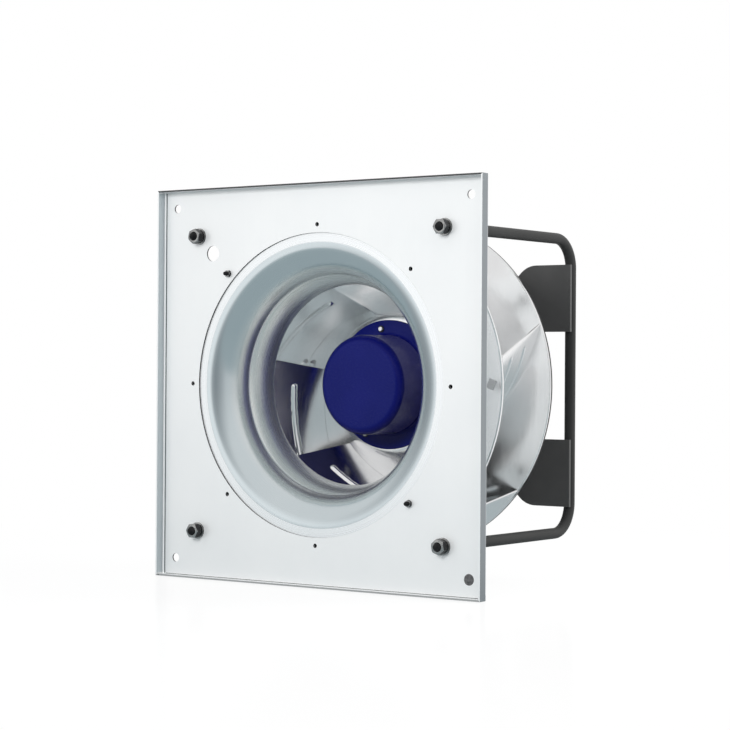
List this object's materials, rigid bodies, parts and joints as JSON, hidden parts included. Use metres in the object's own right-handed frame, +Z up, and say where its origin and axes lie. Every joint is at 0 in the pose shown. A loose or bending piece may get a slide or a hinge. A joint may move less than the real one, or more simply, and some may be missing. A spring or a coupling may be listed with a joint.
{
  "type": "plug fan",
  "caption": "Plug fan for an air handling unit: square plate with inlet nozzle, backward-curved impeller on an external-rotor motor, carried by two bent bars.",
  "frame": {"origin": "centre of the mounting plate on the fan axis, at the plate's front face", "axes": "+X right seen from the inlet, +Y from the plate back to the motor, +Z up; the inlet faces -Y"},
  "size_m": [0.5, 0.3203, 0.5],
  "materials": {
    "plate_steel": "satin",
    "nozzle_steel": "satin",
    "impeller_aluminium": "satin",
    "frame_coat": "satin",
    "rotor_paint": "satin",
    "fastener_steel": "satin",
    "bright_steel": "satin",
    "cast_aluminium": "matte",
    "housing_coat": "matte",
    "winding_copper": "satin",
    "magnet_iron": "matte",
    "board_laminate": "satin",
    "black_plastic": "matte",
    "black_rubber": "matte"
  },
  "bodies": {
    "frame": {"mounting_plate": "plate_steel", "inlet_nozzle": "nozzle_steel", "nozzle_bolts": "fastener_steel", "nozzle_nuts": "fastener_steel", "support_bar_left": "frame_coat", "support_bar_right": "frame_coat", "bracket_washers": "fastener_steel", "bracket_spring_washers": "fastener_steel", "bracket_nuts": "fastener_steel", "motor_plate": "frame_coat", "motor_plate_screws": "fastener_steel", "stator_flange": "cast_aluminium", "stator_screws": "fastener_steel", "stator_core": "bright_steel", "stator_windings": "winding_copper", "front_bearing": "bright_steel", "rear_bearing": "bright_steel", "preload_spring": "fastener_steel", "electronics_housing": "housing_coat", "circuit_board": "board_laminate", "capacitors": "black_plastic", "cover_gasket": "black_rubber", "housing_cover": "black_plastic", "cover_screws": "fastener_steel", "cable_gland_left": "black_plastic", "cable_gland_right": "black_plastic"},
    "rotor": {"shaft": "bright_steel", "shaft_circlip": "fastener_steel", "rotor_bell": "rotor_paint", "rotor_magnets": "magnet_iron", "rotor_screws": "bright_steel", "impeller_shroud": "impeller_aluminium", "impeller_back_plate": "impeller_aluminium", "blade_tabs": "impeller_aluminium", "blade_1": "impeller_aluminium", "blade_2": "impeller_aluminium", "blade_3": "impeller_aluminium", "blade_4": "impeller_aluminium", "blade_5": "impeller_aluminium", "blade_6": "impeller_aluminium"}
  },
  "joints": [
    {"name": "impeller_spin", "type": "hinge", "parent": "frame", "child": "rotor", "pos_m": [0, 0.15, 0], "axis": [0, 1, 0], "continuous": true}
  ]
}
